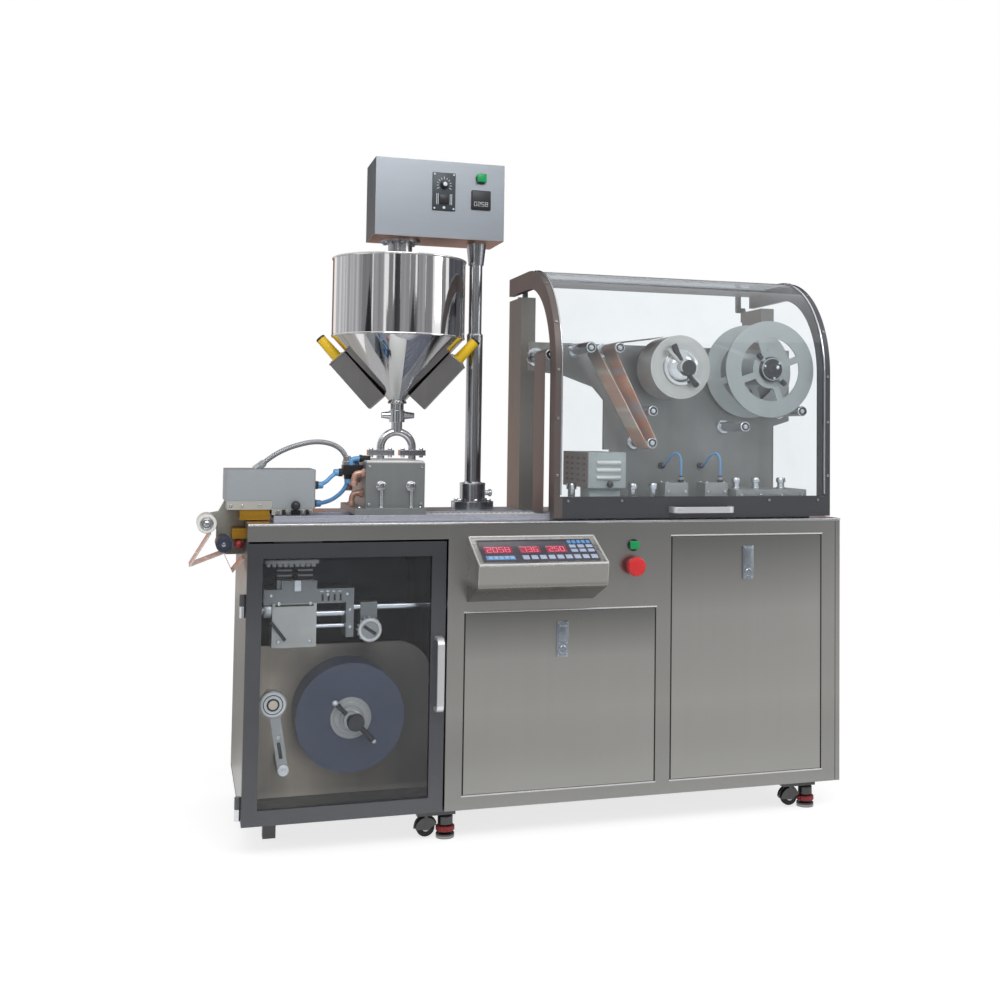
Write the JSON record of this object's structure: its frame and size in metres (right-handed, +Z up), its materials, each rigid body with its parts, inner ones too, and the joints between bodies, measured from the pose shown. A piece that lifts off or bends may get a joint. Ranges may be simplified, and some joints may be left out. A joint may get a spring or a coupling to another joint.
{
  "type": "blister packing machine",
  "caption": "Floor-standing blister packing machine: steel cabinet with film bay and console, hopper on a feeding tower, and an arched clear hood over the sealing station and foil reels.",
  "frame": {"origin": "centre of the overall box on the floor", "axes": "+X along the film's travel, to the right seen from the front; +Y to the back; +Z up"},
  "size_m": [1.625, 0.68, 1.6575],
  "materials": {
    "stainless": "brushed",
    "dark_steel": "brushed",
    "polished_steel": "polished",
    "drive_steel": "brushed",
    "frame_grey": "satin",
    "cover_grey": "satin",
    "bracket_green": "satin",
    "mount_tan": "matte",
    "casting_grey": "machined",
    "brass_plate": "machined",
    "keypad_blue": "matte",
    "button_green": "gloss",
    "button_red": "gloss",
    "grip_yellow": "gloss",
    "controls_dark": "gloss",
    "black_wheel": "matte",
    "roller_white": "satin",
    "clear_sheet": "clear",
    "film_clear": "clear",
    "film_blue": "gloss",
    "foil_silver": "bright",
    "reel_blue": "satin",
    "hose_braid": "braided",
    "hose_blue": "gloss"
  },
  "bodies": {
    "machine": {"worktop": "stainless", "front_fascia": "stainless", "bay_apron": "stainless", "side_panels": "stainless", "back_panel": "stainless", "bottom_plate": "dark_steel", "partition_wall": "stainless", "middle_panel": "stainless", "right_panel": "stainless", "caster_bodies": "casting_grey", "caster_wheels": "black_wheel", "console_housing": "stainless", "console_keypad": "keypad_blue", "start_button": "button_green", "stop_button": "button_red", "door_hinges": "polished_steel", "bay_mount_plate": "mount_tan", "index_mechanism": "casting_grey", "heater_cover": "cover_grey", "heater_bracket": "bracket_green", "heater_plates": "brass_plate", "infeed_rollers": "roller_white", "film_loop": "film_clear", "air_manifold": "controls_dark", "track": "casting_grey", "film_web": "film_clear", "tower_bed": "dark_steel", "feeder_box": "dark_steel", "feed_pipe": "polished_steel", "outlet_valve": "polished_steel", "hopper": "polished_steel", "cone_boxes": "stainless", "yellow_grips": "grip_yellow", "tower_post": "polished_steel", "drive_box": "drive_steel", "drive_tube": "polished_steel", "drive_controls": "controls_dark", "rear_posts": "dark_steel", "reel_plate": "casting_grey", "guide_rollers": "polished_steel", "lidding_foil": "foil_silver", "louvre_box": "cover_grey", "sealing_bed": "casting_grey", "braided_hose": "hose_braid", "blue_hose": "hose_blue", "short_hose": "hose_blue", "front_tube": "hose_blue", "rear_tube": "hose_blue"},
    "bay_door": {"door_frame": "frame_grey", "door_window": "clear_sheet", "door_handle": "polished_steel"},
    "hood": {"hood_frame": "frame_grey", "hood_window": "clear_sheet", "hood_handle": "polished_steel"},
    "film_reel": {"film_roll": "film_blue", "film_chuck": "casting_grey"},
    "foil_reel": {"foil_roll": "foil_silver"},
    "waste_rewind": {"waste_reel": "reel_blue"},
    "dancer": {"dancer_arm": "casting_grey"}
  },
  "joints": [
    {"name": "bay_door_hinge", "type": "hinge", "parent": "machine", "child": "bay_door", "pos_m": [-0.6955, -0.21, 0.39], "axis": [0, 0, -1], "range_deg": [0, 110]},
    {"name": "hood_hinge", "type": "hinge", "parent": "machine", "child": "hood", "pos_m": [0.4145, 0.27, 1.338], "axis": [-1, 0, 0], "range_deg": [0, 80]},
    {"name": "film_reel_spin", "type": "hinge", "parent": "machine", "child": "film_reel", "pos_m": [-0.4405, -0.1, 0.29032], "axis": [0, 1, 0], "continuous": true},
    {"name": "foil_reel_spin", "type": "hinge", "parent": "machine", "child": "foil_reel", "pos_m": [0.38728, -0.1, 1.13709], "axis": [0, 1, 0], "continuous": true},
    {"name": "waste_rewind_spin", "type": "hinge", "parent": "machine", "child": "waste_rewind", "pos_m": [0.64281, -0.1, 1.13773], "axis": [0, 1, 0], "continuous": true},
    {"name": "dancer_swing", "type": "hinge", "parent": "machine", "child": "dancer", "pos_m": [-0.6205, -0.166, 0.3342], "axis": [0, -1, 0], "range_deg": [0, 15]}
  ]
}
